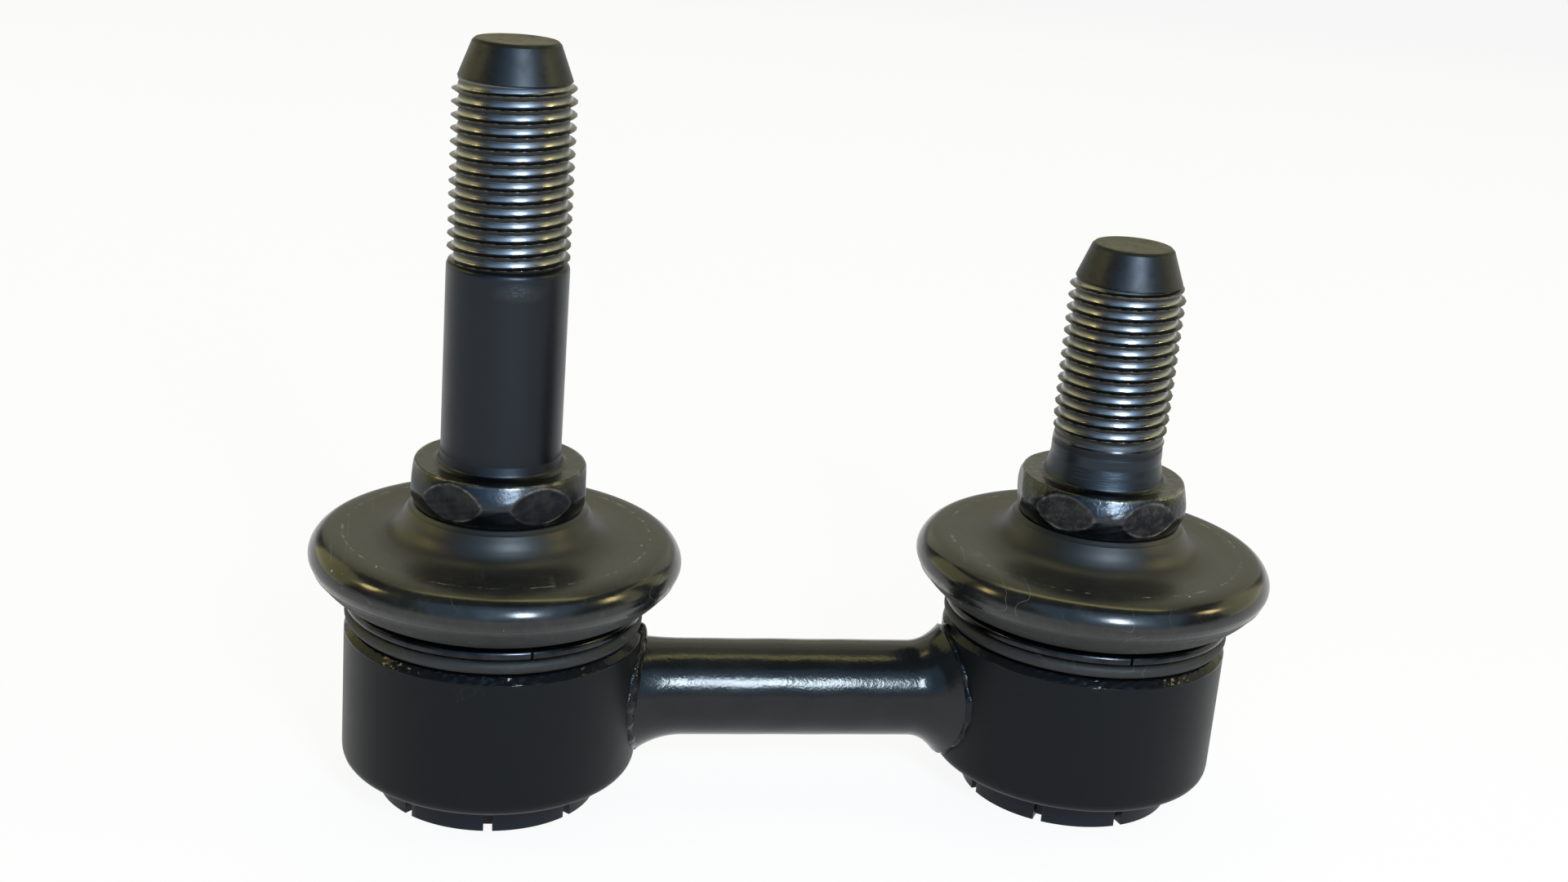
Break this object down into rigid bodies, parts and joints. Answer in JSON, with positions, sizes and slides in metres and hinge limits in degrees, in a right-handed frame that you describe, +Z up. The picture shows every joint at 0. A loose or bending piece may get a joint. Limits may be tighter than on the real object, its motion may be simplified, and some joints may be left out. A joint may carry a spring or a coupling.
{
  "type": "stabilizer link",
  "caption": "Short black stabilizer link: a rod with a sealed, booted ball joint at each end; a long and a short threaded stud stand up beside each other on hexagon collars.",
  "frame": {"origin": "midway between the two stud axes, on the plane of the end caps that the link stands on", "axes": "+X along the rod from the long stud to the short stud, +Z up along the studs, +Y away from the picture's viewer"},
  "size_m": [0.1018, 0.0378, 0.0786],
  "materials": {
    "black_paint": "satin black paint on steel",
    "black_steel": "oiled black phosphate",
    "clip_wire": "glossy black spring wire",
    "ring_steel": "plain pressed sheet",
    "boot_rubber": "satin moulded rubber",
    "seat_plastic": "natural acetal",
    "cap_plastic": "satin moulded"
  },
  "bodies": {
    "link": {"link_rod": "black_paint", "left_weld_bead": "black_paint", "right_weld_bead": "black_paint", "left_housing": "black_paint", "right_housing": "black_paint", "left_ball_seat": "seat_plastic", "right_ball_seat": "seat_plastic", "left_end_cap": "cap_plastic", "right_end_cap": "cap_plastic", "left_boot_clip": "clip_wire", "right_boot_clip": "clip_wire"},
    "left_boot": {"left_boot": "boot_rubber"},
    "left_ring": {"left_slide_ring": "ring_steel"},
    "left_stud": {"left_ball_stud": "black_steel"},
    "right_boot": {"right_boot": "boot_rubber"},
    "right_ring": {"right_slide_ring": "ring_steel"},
    "right_stud": {"right_ball_stud": "black_steel"}
  },
  "joints": [
    {"name": "left_swivel", "type": "hinge", "parent": "link", "child": "left_boot", "pos_m": [-0.032, 0, 0.0116], "axis": [0, 0, 1], "continuous": true, "deforming": ["left_boot"]},
    {"name": "left_swing", "type": "hinge", "parent": "left_boot", "child": "left_ring", "pos_m": [-0.032, 0, 0.0116], "axis": [0, 1, 0], "range_deg": [-20, 20], "deforming": ["left_boot"]},
    {"name": "left_spin", "type": "hinge", "parent": "left_ring", "child": "left_stud", "pos_m": [-0.032, 0, 0.0116], "axis": [0, 0, 1], "continuous": true},
    {"name": "right_swivel", "type": "hinge", "parent": "link", "child": "right_boot", "pos_m": [0.032, 0, 0.0116], "axis": [0, 0, 1], "continuous": true, "deforming": ["right_boot"]},
    {"name": "right_swing", "type": "hinge", "parent": "right_boot", "child": "right_ring", "pos_m": [0.032, 0, 0.0116], "axis": [0, 1, 0], "range_deg": [-20, 20], "deforming": ["right_boot"]},
    {"name": "right_spin", "type": "hinge", "parent": "right_ring", "child": "right_stud", "pos_m": [0.032, 0, 0.0116], "axis": [0, 0, 1], "continuous": true}
  ]
}
